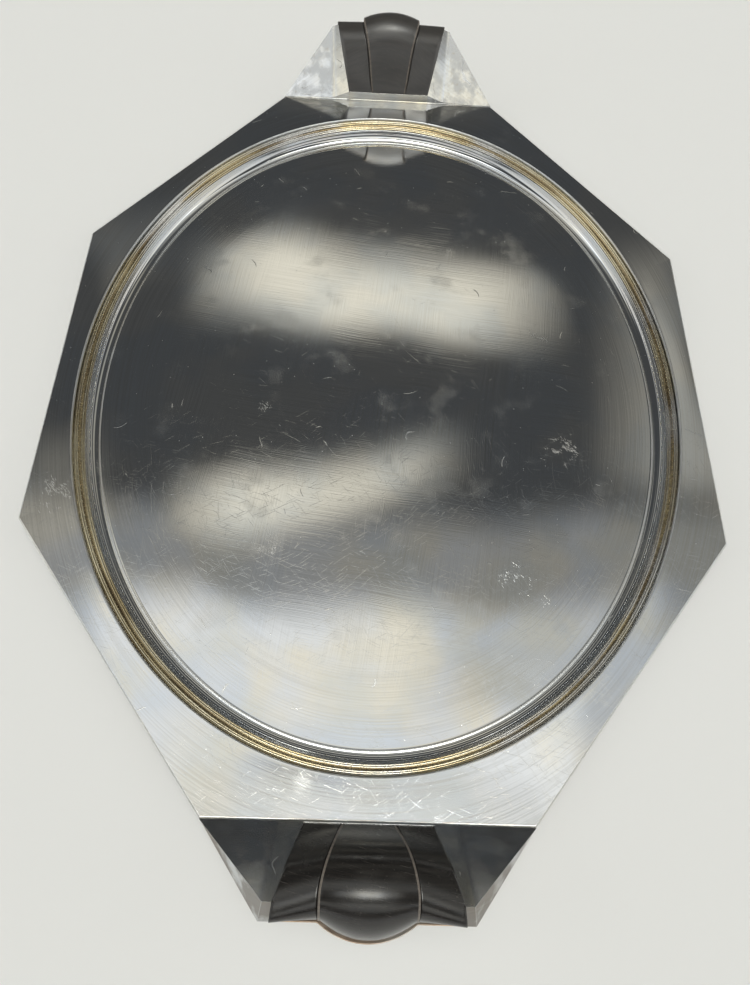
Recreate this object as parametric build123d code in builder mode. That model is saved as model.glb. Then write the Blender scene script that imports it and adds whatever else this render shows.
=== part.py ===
from build123d import *
import os
from math import atan2, cos, radians, sin, sqrt

# Octagonal serving tray with an oval well, a reeded border and a raised wooden grip at each end.
# Millimetres, +Z up. The origin is under the middle of the well, whose underside stands on Z = 0.
# The tray is longest along Y: "back" is the +Y end and "front" is the -Y end.
# "left" and "right" are those of someone who faces a handle from the middle of the tray.

os.makedirs("parts", exist_ok=True)

# ---- tray plate: one pressed sheet -------------------------------------------------------------
sheet = 1.2  # gauge of the tray and of the handle sheet metal
rim_length = 476.0  # between the two straight ends that carry the handles
rim_width = 374.0  # between the two long sides
end_edge = 150.0  # length of each straight end
side_edge = 198.0  # length of each straight long side
corner_radius = 1.6  # the eight corners of the rim, seen from above
edge_round = 0.9  # round on the upper arris of the rim
lip_depth = 1.5  # how far the edge is turned down under the sheet
end_land = 19.0  # flat of the rim between the mouth of the well and each straight end
side_land = 13.0  # and between the mouth and each long side
well_depth = 11.0  # top of the rim to the floor of the well
mouth_round = 0.8  # round where the rim turns down into the well
ledge_depth = 4.9  # top of the rim to the ledge under the border
ledge_width = 6.0  # flat of the ledge
ledge_round = 0.5  # round where the ledge turns down into the cove
cove_radius = 5.2  # hollow between the ledge and the floor
weld_overlap = 4.0  # how far the well's ring runs into the flat rim and floor

# ---- reeded border, soldered on the ledge ------------------------------------------------------
border_gap = 0.3  # clear of the mouth wall and back from the edge of the ledge
border_channel = 0.7  # dark channel between the mouth wall and the first reed
border_drop = 1.2  # top of the rim to the outer foot of the first reed
border_toe = 0.45  # height of the inner edge of the moulding
reed_width = 1.05  # each of the four reeds, along the slope
reed_rise = 0.42  # how far a reed stands above the slope
cavetto_sink = 0.28  # how far the hollow between the reed pairs sinks below the slope

# ---- handles -----------------------------------------------------------------------------------
# Handle sizes are taken from the middle of the rim's end edge: X along the edge, Y outwards,
# Z up from the top of the rim.
horn_reach = 27.7  # outward to the tip of a horn
horn_height = 34.4  # rim top to the outer corner of the tip
horn_tip_half = 40.9  # middle of the handle to that corner
horn_tip_width = 3.8  # the flat top of the tip
strip_rise = 1.6  # how far the tip's inner corner stands above its outer corner
wing_rise = 2.6  # how far the wing climbs from the rim's corner to the middle of the handle
wing_fillet = 12.0  # hollow where the wing turns up towards the wood
riser_height = 5.9  # bracket's wall in front of the wood, above the rim
foot_reach = 36.0  # outward to the lower outer edge of the horns
foot_height = 20.0  # rim top to that edge, on the underplate
foot_half = 43.5  # middle of the handle to the lower outer corner of a horn
grip_base_half = 28.3  # half the width of the wood at the riser
grip_foot_half = 38.0  # half the width of the wood at its outer edge
seam_gap = 0.3  # clearance between a lobe and its neighbours

centre_base_half = 11.5  # half the width of the centre lobe at the riser
centre_waist_half = 16.6  # and at centre_waist_reach
centre_waist_reach = 11.5
centre_full_half = 19.3  # and from centre_full_reach outwards
centre_full_reach = 24.0
centre_end_reach = 41.3  # outward to the rounded end of the centre lobe
centre_end_radius = 33.5  # plan radius of that end
centre_crest_reach = 22.5
centre_crest_height = 46.2  # rim top to the crest, in the middle of the handle
centre_crown = 3.6  # how much lower the crest is where the centre lobe ends
step_height = 3.6  # centre lobe's crest above the side lobe's, at the step
side_crest_height = 35.4  # rim top to the side lobe's crest beside the horn
side_crest_reach = 27.2  # outward to that crest
face_lean_centre = 72.0  # slope of the wood at the riser, in the middle of the handle
face_lean_side = 54.0  # and beside the horn

end_lean = 83.0  # slope of the wood at its outer foot
loft_overrun = 1.0  # the wood is lofted this far past the sides that it is trimmed to
plate_margin = 1.1  # how far the underplate shows round the wood
plate_lap = 8.0  # how far the underplate laps under the rim
plate_lap_inset = 7.0  # the lap is this much shorter than the end edge at each corner

# ---- grip screws, up through the underplate ----------------------------------------------------
screw_shank = 3.5
screw_length = 13.0  # under the head
screw_point = 1.0  # chamfer of the tip
screw_head = 7.0
screw_head_height = 2.0
screw_head_round = 0.8
screw_slot_width = 1.0
screw_slot_depth = 1.0
screw_hole_clearance = 0.6  # on the diameter, in plate and wood
centre_screw_reaches = (18.0, 32.0)  # outward to the two screws of the centre lobe
side_screw_half = 28.0  # middle of the handle to the screw of each side lobe
side_screw_reach = 24.0

well_length = rim_length - 2 * end_land  # mouth of the oval well
well_width = rim_width - 2 * side_land
rim_top = well_depth + sheet
plate_slope = (foot_height + sheet) / foot_reach  # rise of the underplate for each mm outwards
tall = 2 * centre_crest_height  # longer than any handle piece is high or wide


def octagon(inset=0.0):
    """Corners of the rim's outline, drawn smaller by inset, in order round the tray."""
    half_x = rim_width / 2 - inset
    half_y = rim_length / 2 - inset
    slant = atan2(rim_length - side_edge, rim_width - end_edge)  # oblique edge against X
    end_half = end_edge / 2 - inset * (1 - cos(slant)) / sin(slant)
    side_half = side_edge / 2 - inset * (1 - sin(slant)) / cos(slant)
    back_right = [(end_half, half_y), (half_x, side_half)]
    right = back_right + [(x, -y) for x, y in reversed(back_right)]
    return right + [(-x, -y) for x, y in right]


# Profiles of the well's edge are drawn with X inwards from the mouth and Y up from the rim's top.
mouth_plane = Plane(origin=(well_width / 2, 0, rim_top), x_dir=(-1, 0, 0), z_dir=(0, 1, 0))
with BuildLine(Plane.XY.offset(rim_top)) as mouth:
    EllipticalCenterArc((0, 0), well_width / 2, well_length / 2, arc_size=360)

# ---- tray plate --------------------------------------------------------------------------------
with BuildPart() as tray_plate:
    # flat octagonal rim with its turned-down edge
    with BuildSketch(Plane.XY.offset(rim_top)) as rim_face:
        with BuildLine():
            Polyline(*octagon(), close=True)
        make_face()
        fillet(rim_face.vertices(), radius=corner_radius)
    extrude(amount=-sheet - lip_depth)
    with BuildSketch(Plane.XY.offset(rim_top - sheet)):
        with BuildLine():
            Polyline(*octagon(inset=sheet), close=True)
        make_face()
    extrude(amount=-lip_depth, mode=Mode.SUBTRACT)
    # the turned edge stops where the handle brackets stand
    with BuildSketch(Plane.XY.offset(rim_top - sheet)):
        for end in (1, -1):
            with Locations((0, end * rim_length / 2)):
                Rectangle(end_edge - 2 * sheet, 4 * sheet)
    extrude(amount=-lip_depth, mode=Mode.SUBTRACT)
    fillet(tray_plate.faces().sort_by(Axis.Z)[-1].outer_wire().edges(), radius=edge_round)
    with BuildSketch(Plane.XY.offset(rim_top)):
        Ellipse(well_width / 2 + weld_overlap / 2, well_length / 2 + weld_overlap / 2)
    extrude(amount=-sheet, mode=Mode.SUBTRACT)
    # ledge and cove of the well, swept round the mouth
    cove_foot = ledge_width + cove_radius
    with BuildSketch(mouth_plane) as well_profile:
        with BuildLine() as well_line:
            Polyline(
                (-weld_overlap, 0),
                (0, 0),
                (0, -ledge_depth),
                (ledge_width, -ledge_depth),
                (ledge_width, cove_radius - well_depth),
            )
            RadiusArc((ledge_width, cove_radius - well_depth), (cove_foot, -well_depth), -cove_radius)
            Line((cove_foot, -well_depth), (cove_foot + weld_overlap, -well_depth))
            fillet(well_line.vertices().sort_by_distance((0, 0))[0], radius=mouth_round)
            ledge_edge = well_line.vertices().sort_by_distance((ledge_width, -ledge_depth))[0]
            fillet(ledge_edge, radius=ledge_round)
            offset(amount=sheet, side=Side.RIGHT, closed=True)
        make_face()
    sweep(path=mouth.line)
    # floor of the well
    with BuildSketch():
        Ellipse(
            well_width / 2 - cove_foot - weld_overlap / 2,
            well_length / 2 - cove_foot - weld_overlap / 2,
        )
    extrude(amount=sheet)
tray_plate.part.label = "tray_plate"
export_step(tray_plate.part, "parts/tray_plate.step")

# ---- reeded border -----------------------------------------------------------------------------
with BuildPart() as reeded_border:
    top_foot = Vector(border_gap + border_channel, -border_drop)
    toe = Vector(ledge_width - border_gap, border_toe - ledge_depth)
    slope = (toe - top_foot).normalized()
    outward = Vector(-slope.Y, slope.X)
    cavetto_width = (toe - top_foot).length - 4 * reed_width
    with BuildSketch(mouth_plane):
        with BuildLine() as border_line:
            # two reeds, a hollow and two more reeds down the slope
            start = top_foot
            runs = 2 * [(reed_width, reed_rise)]
            runs = runs + [(cavetto_width, -cavetto_sink)] + runs
            for width, rise in runs:
                end = start + slope * width
                ThreePointArc(start, (start + end) * 0.5 + outward * rise, end)
                start = end
            Polyline(
                toe,
                (toe.X, -ledge_depth),
                (border_gap, -ledge_depth),
                (border_gap, -border_drop - border_channel),
                top_foot,
            )
        make_face()
    sweep(path=mouth.line)
reeded_border.part.label = "reeded_border"
export_step(reeded_border.part, "parts/reeded_border.step")


# ---- handles: planes shared by the pieces of one handle ----------------------------------------
def under_height(reach):
    """Height of the underplate's upper face at that reach."""
    return plate_slope * reach - sheet


def plane_through(first, second, third):
    """Plane on three points of the handle's frame, facing up."""
    origin = Vector(*first)
    along = Vector(*second) - origin
    normal = along.cross(Vector(*third) - origin).normalized()
    if normal.Z < 0:
        normal = normal * -1
    return Plane(origin=origin, x_dir=along, z_dir=normal)


rim_corner = (end_edge / 2, 0, 0)
rim_corner_foot = (end_edge / 2, 0, under_height(0))
foot_corner = (foot_half, foot_reach, under_height(foot_reach))
foot_inner = (grip_foot_half, foot_reach, under_height(foot_reach))
tip_outer = (horn_tip_half, horn_reach, horn_height)
tip_inner = (horn_tip_half - horn_tip_width, horn_reach, horn_height + strip_rise)
wood_foot = (grip_base_half, 0, riser_height)
wing_middle = (0, 0, wing_rise)

wing_plane = plane_through(rim_corner, wing_middle, tip_outer)
strip_plane = plane_through(wood_foot, tip_inner, tip_outer)
side_plane = plane_through(rim_corner_foot, foot_corner, tip_outer)
end_plane = plane_through(tip_outer, tip_inner, foot_inner)
plate_plane = plane_through((0, 0, under_height(0)), (1, 0, under_height(0)), (0, 1, under_height(1)))


def above_horn(wall):
    """What is cut off above the horn: all that lies over both its wing and its strip."""
    with BuildPart() as above:
        Box(4 * tall, 4 * tall, 4 * tall)
        split(bisect_by=wing_plane.offset(-wall), keep=Keep.TOP)
        split(bisect_by=strip_plane.offset(-wall), keep=Keep.TOP)
    return above.part


def horn_block(wall):
    """Solid right-hand horn in the handle's frame, smaller by wall on every face but the lower."""
    cut = above_horn(wall)
    with BuildPart() as block:
        with BuildSketch():
            with BuildLine():
                Polyline(
                    (grip_base_half, 0),
                    (tip_inner[0], horn_reach),
                    (grip_foot_half, foot_reach),
                    (foot_half, foot_reach),
                    (end_edge / 2, 0),
                    close=True,
                )
            make_face()
            if wall:
                offset(amount=-wall, kind=Kind.INTERSECTION)
        extrude(amount=tall, both=True)
        split(bisect_by=side_plane.offset(-wall), keep=Keep.BOTTOM)
        split(bisect_by=end_plane.offset(-wall), keep=Keep.BOTTOM)
        split(bisect_by=plate_plane.offset(-wall), keep=Keep.TOP)
        add(cut, mode=Mode.SUBTRACT)
        crease = wing_plane.intersect(strip_plane)
        fillet(block.edges().filter_by(crease), radius=wing_fillet + wall)
    return block.part


horn_outside = horn_block(0)
horn_inside = horn_block(sheet)
both_outsides = [horn_outside, horn_outside.mirror(Plane.YZ)]
both_insides = [horn_inside, horn_inside.mirror(Plane.YZ)]


def placed(at, plane):
    """A plane of the handle's frame, put where that handle stands on the tray."""
    return Plane(at * plane.location)


def bracket(at):
    """Both hollow horns of a handle and the riser that joins them in front of the wood."""
    with BuildPart() as pressed:
        add([at * horn for horn in both_outsides])
        with BuildSketch(placed(at, Plane.XZ.offset(-sheet))):
            with Locations((0, (riser_height - sheet) / 2)):
                Rectangle(2 * grip_base_half + 2 * sheet, riser_height + sheet)
        extrude(amount=sheet)
        add([at * horn for horn in both_insides], mode=Mode.SUBTRACT)
        split(bisect_by=placed(at, plate_plane), keep=Keep.TOP)
    return pressed


# ---- screws: planes on the underplate's lower face, facing up into the wood ---------------------
def screw_plane(half, reach):
    """Where one screw enters the underplate from below."""
    face = Plane(origin=(half, reach, under_height(reach)), x_dir=(1, 0, 0), z_dir=(0, -plate_slope, 1))
    return face.offset(-sheet)


centre_screws = [screw_plane(0, reach) for reach in centre_screw_reaches]
left_screw = screw_plane(-side_screw_half, side_screw_reach)
right_screw = screw_plane(side_screw_half, side_screw_reach)
all_screws = centre_screws + [left_screw, right_screw]
hole_radius = (screw_shank + screw_hole_clearance) / 2
hole_depth = screw_length + screw_hole_clearance


def grip_screws(at):
    """The four slotted screws of one handle."""
    seats = [placed(at, plane) for plane in all_screws]
    along = Axis(seats[0].origin, seats[0].z_dir)
    with BuildPart() as screws:
        with BuildSketch(*seats):
            Circle(screw_shank / 2)
        extrude(amount=screw_length)
        chamfer(screws.faces().group_by(along)[-1].edges(), length=screw_point)
        with BuildSketch(*seats):
            Circle(screw_head / 2)
        extrude(amount=-screw_head_height)
        fillet(screws.faces().group_by(along)[0].edges(), radius=screw_head_round)
        with BuildSketch(*[seat.offset(-screw_head_height) for seat in seats]):
            Rectangle(screw_head, screw_slot_width)
        extrude(amount=screw_slot_depth, mode=Mode.SUBTRACT)
    return screws


# ---- underplate --------------------------------------------------------------------------------
def underplate(at):
    """Sheet soldered under the rim that rises outwards to carry the horns and the wood."""
    with BuildPart() as plate:
        with BuildSketch(placed(at, Plane.YZ)):
            with BuildLine():
                Polyline((-plate_lap, -sheet), (0, -sheet), (tall, under_height(tall)))
                offset(amount=sheet, side=Side.RIGHT, closed=True)
            make_face()
        extrude(amount=end_edge / 2, both=True)
        with BuildSketch(placed(at, Plane.XY)):
            with BuildLine():
                end_centre = centre_end_reach - centre_end_radius
                end_radius = centre_end_radius + plate_margin
                end_half = sqrt(end_radius**2 - (foot_reach - end_centre) ** 2)
                for side in (1, -1):
                    Polyline((side * end_half, foot_reach), (side * foot_half, foot_reach), (side * end_edge / 2, 0))
                    lap_half = end_edge / 2 - plate_lap_inset
                    Polyline((side * end_edge / 2, 0), (side * lap_half, 0), (side * lap_half, -plate_lap))
                Line((-lap_half, -plate_lap), (lap_half, -plate_lap))
                ThreePointArc(
                    (-end_half, foot_reach),
                    (0, centre_end_reach + plate_margin),
                    (end_half, foot_reach),
                )
            make_face()
        extrude(amount=tall, both=True, mode=Mode.INTERSECT)
        with BuildSketch(*[placed(at, plane) for plane in all_screws]):
            Circle(hole_radius)
        extrude(amount=sheet, mode=Mode.SUBTRACT)
    return plate


# ---- wood grips --------------------------------------------------------------------------------
def centre_end(half):
    """Reach of the centre lobe's rounded end at half."""
    return centre_end_reach - centre_end_radius + sqrt(centre_end_radius**2 - half**2)


def side_crest(half):
    """Reach and height of the side lobes' crest at half, a distance from the handle's middle."""
    share = (half - centre_full_half) / (grip_foot_half - centre_full_half)
    inner_height = centre_crest_height - centre_crown - step_height
    reach = centre_crest_reach + share * (side_crest_reach - centre_crest_reach)
    return reach, inner_height + share * (side_crest_height - inner_height)


def sloped(angle):
    """Direction in a profile at that angle above level, outwards."""
    return (cos(radians(angle)), sin(radians(angle)))


def spread(first, last, count):
    """Evenly spaced values from first to last."""
    return [first + (last - first) * step / (count - 1) for step in range(count)]


def grip_section(plane, lean, top, end_reach):
    """Closed profile of the wood: leaning face, rounded crest, steep end and a flat base."""
    start = (sheet, riser_height)
    end = (end_reach, under_height(end_reach))
    with BuildSketch(plane, mode=Mode.PRIVATE) as section:
        with BuildLine():
            Spline(
                start,
                top,
                end,
                tangents=[sloped(lean), (1, 0), sloped(-end_lean)],
            )
            Polyline(end, (end_reach, end[1] - sheet), (sheet, under_height(sheet) - sheet), start)
        make_face()
    return section.sketch


def waist_line(grow):
    """Points of the centre lobe's outline on its right, moved out by grow."""
    return [
        (centre_base_half + grow, 0),
        (centre_waist_half + grow, centre_waist_reach),
        (centre_full_half + grow, centre_full_reach),
    ]


def centre_grip(at):
    """Proud middle lobe: profiles lofted across it, trimmed to its waisted outline."""
    sections = []
    loft_half = centre_full_half + loft_overrun
    for half in spread(-loft_half, loft_half, 7):
        top = (centre_crest_reach, centre_crest_height - centre_crown * (half / centre_full_half) ** 2)
        plane = placed(at, Plane.YZ.offset(half))
        sections.append(grip_section(plane, face_lean_centre, top, centre_end(half)))
    with BuildPart() as lobe:
        loft(sections)
        with BuildSketch(placed(at, Plane.XY)):
            with BuildLine():
                for side in (1, -1):
                    outline = [(side * half, reach) for half, reach in waist_line(0)]
                    ThreePointArc(*outline)
                    Line(outline[2], (side * centre_full_half, tall))
                Line((-centre_base_half, 0), (centre_base_half, 0))
                Line((-centre_full_half, tall), (centre_full_half, tall))
            make_face()
        extrude(amount=tall, both=True, mode=Mode.INTERSECT)
        split(bisect_by=placed(at, plate_plane), keep=Keep.TOP)
        with BuildSketch(*[placed(at, plane) for plane in centre_screws]):
            Circle(hole_radius)
        extrude(amount=hole_depth, mode=Mode.SUBTRACT)
    return lobe


def side_grip(at, side, screw):
    """Lower lobe between the centre lobe and a horn; side is 1 on the right and -1 on the left."""
    sections = []
    for half in spread(centre_base_half, grip_foot_half + loft_overrun, 5):
        share = (half - centre_base_half) / (grip_foot_half - centre_base_half)
        lean = face_lean_centre + share * (face_lean_side - face_lean_centre)
        plane = placed(at, Plane.YZ.offset(side * half))
        sections.append(grip_section(plane, lean, side_crest(half), foot_reach - plate_margin))
    with BuildPart() as lobe:
        loft(sections)
        with BuildSketch(placed(at, Plane.XY)):
            with BuildLine():
                inner = [(side * half, reach) for half, reach in waist_line(seam_gap)]
                ThreePointArc(*inner)
                Polyline(
                    inner[2],
                    (inner[2][0], foot_reach),
                    (side * grip_foot_half, foot_reach),
                    (side * tip_inner[0], horn_reach),
                    (side * grip_base_half, 0),
                    inner[0],
                )
            make_face()
        extrude(amount=tall, both=True, mode=Mode.INTERSECT)
        split(bisect_by=placed(at, plate_plane), keep=Keep.TOP)
        with BuildSketch(placed(at, screw)):
            Circle(hole_radius)
        extrude(amount=hole_depth, mode=Mode.SUBTRACT)
    return lobe


back = Location((0, rim_length / 2, rim_top))
front = Location((0, -rim_length / 2, rim_top), (0, 0, 180))
for end, at in (("back", back), ("front", front)):
    pieces = {
        "bracket": bracket(at),
        "underplate": underplate(at),
        "grip_centre": centre_grip(at),
        "grip_left": side_grip(at, -1, left_screw),
        "grip_right": side_grip(at, 1, right_screw),
        "grip_screws": grip_screws(at),
    }
    for piece, built in pieces.items():
        built.part.label = f"{end}_{piece}"
        export_step(built.part, f"parts/{end}_{piece}.step")
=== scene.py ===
"""Looks of the silver two-handled tray: its meshes and materials, the light and the camera.

Lengths are in millimetres until piece() writes a mesh, and angles are in degrees unless radians()
stands beside them.
"""

from math import cos, pi, radians, sin, sqrt, tan

import bmesh
import bpy
import numpy as np
from mathutils import Matrix, Vector, noise


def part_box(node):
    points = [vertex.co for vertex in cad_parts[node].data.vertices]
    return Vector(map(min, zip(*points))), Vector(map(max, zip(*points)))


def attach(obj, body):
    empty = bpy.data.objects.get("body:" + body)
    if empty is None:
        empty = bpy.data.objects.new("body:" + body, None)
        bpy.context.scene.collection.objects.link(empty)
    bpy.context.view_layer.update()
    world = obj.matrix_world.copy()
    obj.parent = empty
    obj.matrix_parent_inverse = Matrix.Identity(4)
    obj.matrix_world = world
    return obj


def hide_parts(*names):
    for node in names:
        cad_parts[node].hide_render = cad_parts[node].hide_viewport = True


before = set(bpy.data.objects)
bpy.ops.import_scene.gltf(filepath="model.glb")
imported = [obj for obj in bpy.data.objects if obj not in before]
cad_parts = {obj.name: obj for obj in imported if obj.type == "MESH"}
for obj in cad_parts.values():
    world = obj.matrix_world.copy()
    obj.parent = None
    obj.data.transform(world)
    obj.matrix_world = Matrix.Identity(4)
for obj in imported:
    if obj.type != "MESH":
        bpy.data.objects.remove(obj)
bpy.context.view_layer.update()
MM = 0.001

# ---- sizes in millimetres, read from the frame where it holds them ----
tray_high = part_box("tray_plate")[1] / MM
border_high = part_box("reeded_border")[1] / MM
bracket_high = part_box("back_bracket")[1] / MM
RIM_X, RIM_Y, RIM_TOP = tray_high
SHEET = 1.2
SIDE_HALF = 99.0  # half of each long straight side
END_HALF = bracket_high.x  # half of each straight end
CORNER_RADIUS, LEAST_RADIUS = 1.6, 0.25  # of the rim's corners: outside, and on rings further in
EDGE_ROUND, EDGE_BAND = 0.9, 0.2  # round of the rim's edge, and the worn band below it
LIP_DEPTH, LIP_CHAMFER = 1.5, 0.3
WELL_DEPTH = RIM_TOP - SHEET
BORDER_GAP = 0.3
MOUTH_X = border_high.x + BORDER_GAP
MOUTH_Y = border_high.y + BORDER_GAP
MOUTH_ROUND = 0.8
MOUTH_REST = 0.4  # flat left between the mouth's round and the first ring of the rim
MOUTH_STEPS, LEDGE_STEPS, COVE_STEPS, EDGE_STEPS = 6, 4, 18, 7  # steps round each curve
LEDGE_DEPTH, LEDGE_WIDTH, LEDGE_ROUND = 4.9, 6.0, 0.5
COVE_RADIUS = 5.2
# worn bead where the cove meets the floor: distance past the cove's end, and height
BEAD_PROFILE = ((0.25, 0.12), (0.6, 0.12), (0.9, 0))
# the border's top and toe: distance in from the mouth, and height
BORDER_TOP = (1.0, -1.2)
BORDER_TOE = (LEDGE_WIDTH - BORDER_GAP, 0.45 - LEDGE_DEPTH)
BORDER_BACK = 0.7  # how far it goes down behind its top
BORDER_ROUND = (0.12, 0.1)  # where its rounded top starts: how far behind it and below it
BORDER_LIFT = 0.02  # between the border and the ledge
REED_WIDTH, REED_RISE, HOLLOW_SINK = 1.05, 0.42, 0.28
REED_STEPS = 8  # steps across each reed and the hollow
FLOOR_SHARES = np.linspace(0.02, 0.99, 34)  # rings of the well's floor, from the middle to the cove
RIM_SHARES = (0.995, 0.96, *np.linspace(0.9, 0.06, 15))  # rings of the rim, from its edge to the mouth
UNDER_SHARES = np.linspace(0.08, 0.9, 6)  # and under the rim, from the mouth to the edge

# material slots of a bracket
WING, ARRIS_WORN, WALL, STRIP = range(4)

# handle frame: x along the end edge, u outwards from it, z up from the top of the rim
HORN_REACH = 27.7
HORN_TIP_OUTER = (40.9, HORN_REACH, 34.4)
HORN_TIP_INNER = (37.1, HORN_REACH, 36.0)
WOOD_FOOT = (28.3, 0.0, 5.9)
WING_RISE = 2.6
CREASE_BLEND = 0.9
FOOT_REACH, FOOT_HEIGHT = 36.0, 20.0
FOOT_HALF, FOOT_INNER = 43.5, 38.0
PLATE_SLOPE = (FOOT_HEIGHT + SHEET) / FOOT_REACH
ARRIS = 0.5
CENTRE_BASE, CENTRE_WAIST, CENTRE_FULL = 11.5, 16.6, 19.3
WAIST_REACH, FULL_REACH = 11.5, 24.0
CENTRE_END, CENTRE_END_RADIUS = 41.3, 33.5
CREST_REACH, CREST_HEIGHT, CREST_CROWN = 22.5, 46.2, 3.6
STEP_HEIGHT = 3.6
SIDE_CREST_REACH, SIDE_CREST_HEIGHT = 27.2, 35.4
LEAN_CENTRE, LEAN_SIDE, LEAN_END = 72.0, 54.0, 83.0  # in degrees
LEAN_START, LEAN_MORE = 0.45, 0.55  # shares of a side lobe's change of lean: at once, and across it
SIDE_COLUMNS = 18
RISE_PULL, FALL_PULL = 54.0, 36.0  # lengths of a lobe's tangents up to its crest and down from it
LOBE_ROUND = 0.9
ROUND_STEPS, CROWN_STEPS = 5, 24  # steps over a worn arris, and across the crown
PLATE_MARGIN, PLATE_STEPS = 1.1, 32
PLATE_LAP, LAP_INSET = 8.0, 7.0
RISER_EDGE, RISER_LAP = 0.4, 0.2  # the riser's edge in front of the wood, and its lap on the horns
SEAM, WOOD_GAP = 0.12, 0.05  # between the lobes, and between the wood and a horn
# unevenness of the sheet: height, length and seed, and how steeply the floor's fades towards the cove
FLOOR_WAVE, FLOOR_WAVE_LENGTH, FLOOR_WAVE_SEED, FLOOR_WAVE_FADE = 0.55, 95.0, 3.1, 5
RIM_WAVE, RIM_WAVE_LENGTH, RIM_WAVE_SEED = 0.2, 60.0, 7.7
BEVEL_STEPS, BEVEL_ANGLE = 3, 32  # of a worn arris: steps over it, and the least turn that is rounded
SAME_LINE = 0.1  # a point this near to a line is on it
SAME_POINT = 1e-6  # metres within which two points are one


# ---- mesh helpers ----
def piece(name, points, faces, materials, bevel=0.0, bevel_slot=-1):
    """A smooth mesh piece of the tray from points in millimetres; faces are (corners, slot)."""
    mesh = bpy.data.meshes.new(name)
    places = [tuple(MM * value for value in point) for point in points]
    mesh.from_pydata(places, [], [corners for corners, _ in faces])
    for material in materials:
        mesh.materials.append(material)
    for polygon, (_, slot) in zip(mesh.polygons, faces):
        polygon.material_index = slot
    shape = bmesh.new()
    shape.from_mesh(mesh)
    bmesh.ops.remove_doubles(shape, verts=shape.verts, dist=SAME_POINT)
    bmesh.ops.recalc_face_normals(shape, faces=shape.faces)
    shape.to_mesh(mesh)
    shape.free()
    mesh.shade_smooth()
    made = bpy.data.objects.new(name, mesh)
    bpy.context.scene.collection.objects.link(made)
    if bevel:
        rounded = made.modifiers.new("arris", "BEVEL")
        rounded.width = bevel * MM
        rounded.segments = BEVEL_STEPS
        rounded.limit_method = "ANGLE"
        rounded.angle_limit = radians(BEVEL_ANGLE)
        rounded.material = bevel_slot
        rounded.harden_normals = True
    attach(made, "root")
    return made


def ring_faces(rings, count, slots):
    """Quads between rings of count points each; slots gives the material slot of each band."""
    faces = []
    for row in range(rings - 1):
        low, high = row * count, (row + 1) * count
        for step in range(count):
            after = (step + 1) % count
            faces.append(((low + step, low + after, high + after, high + step), slots[row]))
    return faces


def arc(centre, radius, first, last, steps):
    """Points of a circular arc from angle first to angle last, in degrees."""
    angles = [radians(first + (last - first) * step / steps) for step in range(steps + 1)]
    return [(centre[0] + radius * cos(angle), centre[1] + radius * sin(angle)) for angle in angles]


# ---- tray plate ----
def octagon(inset):
    """Corners of the rim as complex numbers, counter-clockwise from the right-hand side."""
    slant = np.arctan2(RIM_Y - SIDE_HALF, RIM_X - END_HALF)
    end_half = END_HALF - inset * (1 - cos(slant)) / sin(slant)
    side_half = SIDE_HALF - inset * (1 - sin(slant)) / cos(slant)
    x, y = RIM_X - inset, RIM_Y - inset
    quarter = [x + 1j * side_half, end_half + 1j * y]
    half = quarter + [-point.conjugate() for point in reversed(quarter)]
    return half + [-point for point in half]


def outline(inset, straight_steps=80, corner_steps=6):
    """Points all round the rim with its corners rounded, moved in by inset."""
    corners = octagon(inset)
    radius = max(CORNER_RADIUS - inset, LEAST_RADIUS)
    arcs = []
    for index, corner in enumerate(corners):
        back = corners[index - 1] - corner
        ahead = corners[(index + 1) % len(corners)] - corner
        back, ahead = back / abs(back), ahead / abs(ahead)
        half_angle = np.arccos((back * ahead.conjugate()).real) / 2
        middle = (back + ahead) / abs(back + ahead)
        centre = corner + middle * radius / sin(half_angle)
        first = corner + back * radius / tan(half_angle) - centre
        last = corner + ahead * radius / tan(half_angle) - centre
        turn = np.angle(last / first)
        bend = [centre + first * np.exp(1j * turn * s / corner_steps) for s in range(corner_steps + 1)]
        arcs.append(bend)
    points = []
    for index, bend in enumerate(arcs):
        start, stop = bend[-1], arcs[(index + 1) % len(arcs)][0]
        points += bend
        points += [start + (stop - start) * s / straight_steps for s in range(1, straight_steps)]
    return np.array(points)


edge_line = outline(0)
around = np.arctan2(edge_line.imag / MOUTH_Y, edge_line.real / MOUTH_X)
mouth_line = MOUTH_X * np.cos(around) + 1j * MOUTH_Y * np.sin(around)
inward = -(np.cos(around) / MOUTH_X + 1j * np.sin(around) / MOUTH_Y)
inward = inward / abs(inward)
rim_start = mouth_line - inward * (MOUTH_ROUND + MOUTH_REST)


def hand_wave(x, y, scale, seed):
    """Gentle unevenness of hand-finished sheet, from 0 to 1."""
    return 0.5 + 0.5 * noise.noise(Vector((x / scale, y / scale, seed)))


def ring(line, z):
    """Ring of points over a complex outline at one height or at a height for each point."""
    heights = np.broadcast_to(z, line.shape)
    return [(p.real, p.imag, RIM_TOP + h) for p, h in zip(line, heights)]


def well_profile(drop):
    """Profile of the well from the mouth to the floor: distance in from the mouth, and height."""
    cove = (LEDGE_WIDTH + COVE_RADIUS, COVE_RADIUS - WELL_DEPTH)
    corner = (LEDGE_WIDTH - LEDGE_ROUND, -LEDGE_DEPTH - LEDGE_ROUND)
    upper = arc((-MOUTH_ROUND, -MOUTH_ROUND), MOUTH_ROUND, 90, 0, MOUTH_STEPS)
    lower = arc(corner, LEDGE_ROUND, 90, 0, LEDGE_STEPS) + arc(cove, COVE_RADIUS, 180, 270, COVE_STEPS)
    profile = [(-MOUTH_ROUND - MOUTH_REST, 0)] + upper + [(0, -LEDGE_DEPTH)] + lower
    return [(x, z - drop) for x, z in profile]


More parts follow.
